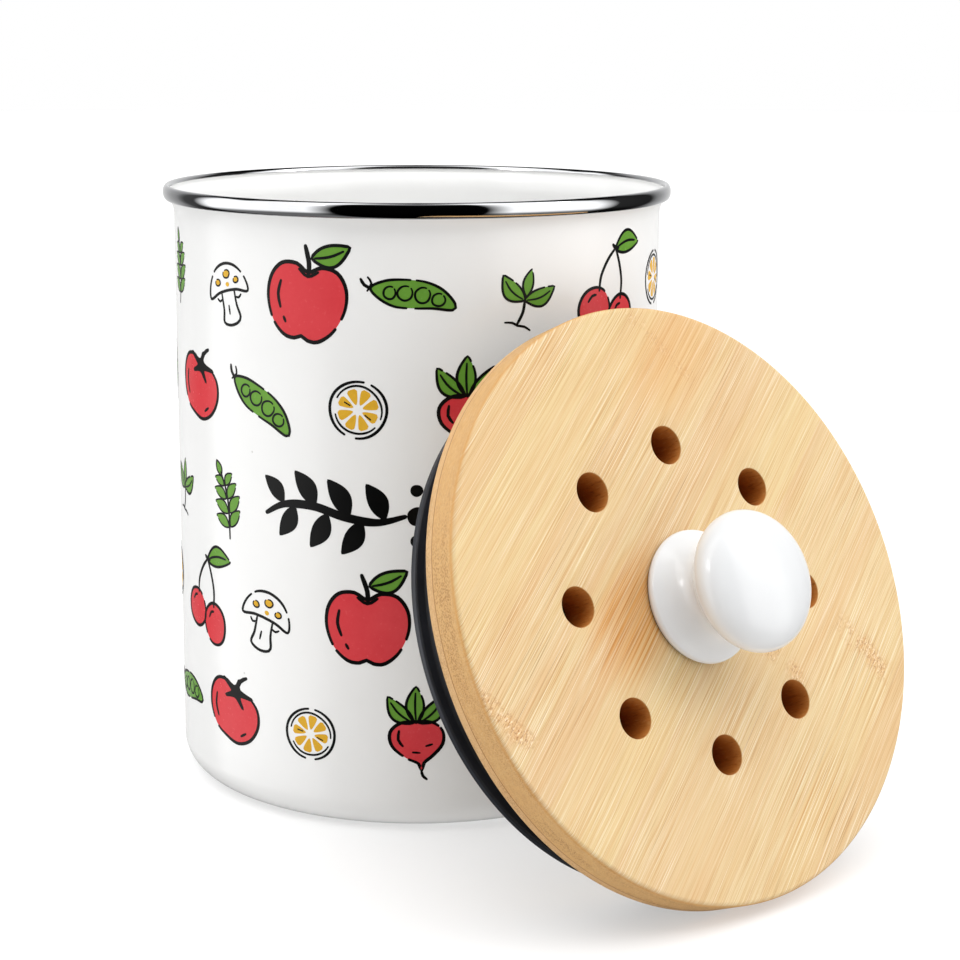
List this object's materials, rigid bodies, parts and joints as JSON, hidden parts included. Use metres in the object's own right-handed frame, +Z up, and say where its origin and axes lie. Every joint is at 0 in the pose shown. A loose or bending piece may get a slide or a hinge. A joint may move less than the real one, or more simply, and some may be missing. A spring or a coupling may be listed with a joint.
{
  "type": "compost caddy",
  "caption": "Round enamelled steel compost caddy with a rolled rim ring and a loose vented bamboo lid with a ceramic knob, ring seal and charcoal filter, the lid leaning at its side.",
  "frame": {"origin": "centre of the canister's base, on the surface that it stands on", "axes": "+Z up along the canister's axis; the lid leans at the +X, -Y side, and a viewer at -Y sees it in front on the right"},
  "size_m": [0.2324, 0.2581, 0.1944],
  "materials": {
    "enamel": "gloss",
    "rim_steel": "polished",
    "bamboo": "satin",
    "seal_rubber": "satin",
    "charcoal_felt": "matte",
    "clip_steel": "satin",
    "white_ceramic": "gloss",
    "brass": "satin"
  },
  "bodies": {
    "canister": {"canister_shell": "enamel", "rim_trim": "rim_steel"},
    "lid": {"lid_board": "bamboo", "lid_plug": "bamboo", "lid_seal": "seal_rubber", "carbon_filter": "charcoal_felt", "clip_screws": "clip_steel", "knob": "white_ceramic", "knob_pad": "seal_rubber", "knob_insert": "brass", "knob_screw": "clip_steel", "knob_washer": "clip_steel"},
    "clip_1": {"filter_clip_1": "clip_steel"},
    "clip_2": {"filter_clip_2": "clip_steel"},
    "clip_3": {"filter_clip_3": "clip_steel"}
  },
  "joints": [
    {"name": "lid_lift_away", "type": "slide", "parent": "canister", "child": "lid", "axis": [0.5888, -0.7005, 0.4032], "range_m": [0, 0.18]},
    {"name": "clip_1_turn", "type": "hinge", "parent": "lid", "child": "clip_1", "pos_m": [0.07814, -0.11179, 0.01063], "axis": [0.5888, -0.7005, 0.4032], "range_deg": [0, 90]},
    {"name": "clip_2_turn", "type": "hinge", "parent": "lid", "child": "clip_2", "pos_m": [0.09637, -0.04384, 0.10205], "axis": [0.5888, -0.7005, 0.4032], "range_deg": [0, 90]},
    {"name": "clip_3_turn", "type": "hinge", "parent": "lid", "child": "clip_3", "pos_m": [0.00807, -0.11807, 0.10205], "axis": [0.5888, -0.7005, 0.4032], "range_deg": [0, 90]}
  ]
}
